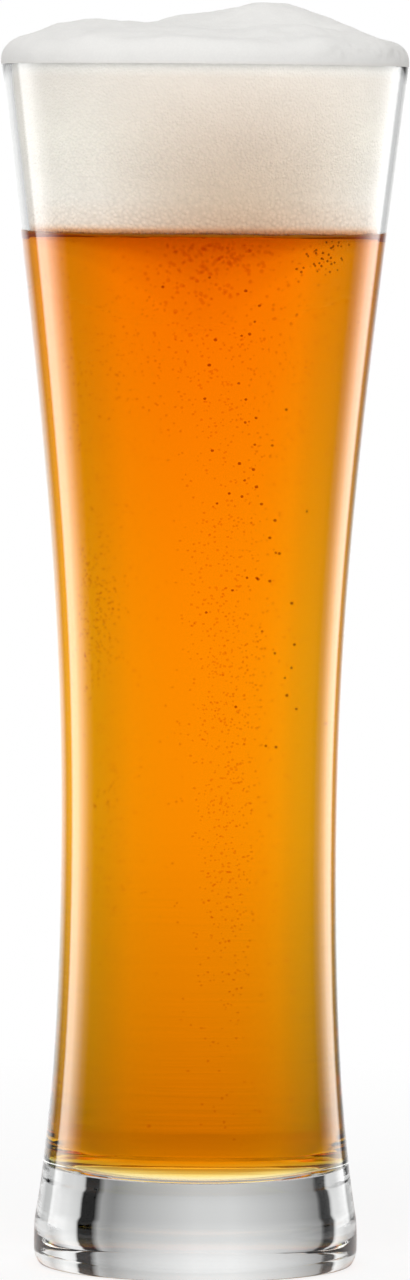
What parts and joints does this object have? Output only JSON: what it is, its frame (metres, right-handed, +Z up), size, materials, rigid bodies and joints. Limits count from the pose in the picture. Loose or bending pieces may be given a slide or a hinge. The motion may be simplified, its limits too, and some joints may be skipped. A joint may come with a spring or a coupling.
{
  "type": "witbier glass",
  "caption": "Tall waisted beer glass with a flared rim and a thick clear base, filled with amber beer under a domed head of foam.",
  "frame": {"origin": "on the axis of the glass, at the level of the surface that it stands on", "axes": "+Z up along the axis of the glass, -Y towards the viewer of the picture"},
  "size_m": [0.0828, 0.0828, 0.2574],
  "materials": {
    "clear_glass": "polished",
    "amber_beer": "gloss",
    "cream_foam": "matte"
  },
  "bodies": {
    "root": {"glass": "clear_glass", "beer": "amber_beer", "foam_head": "cream_foam"}
  },
  "joints": []
}
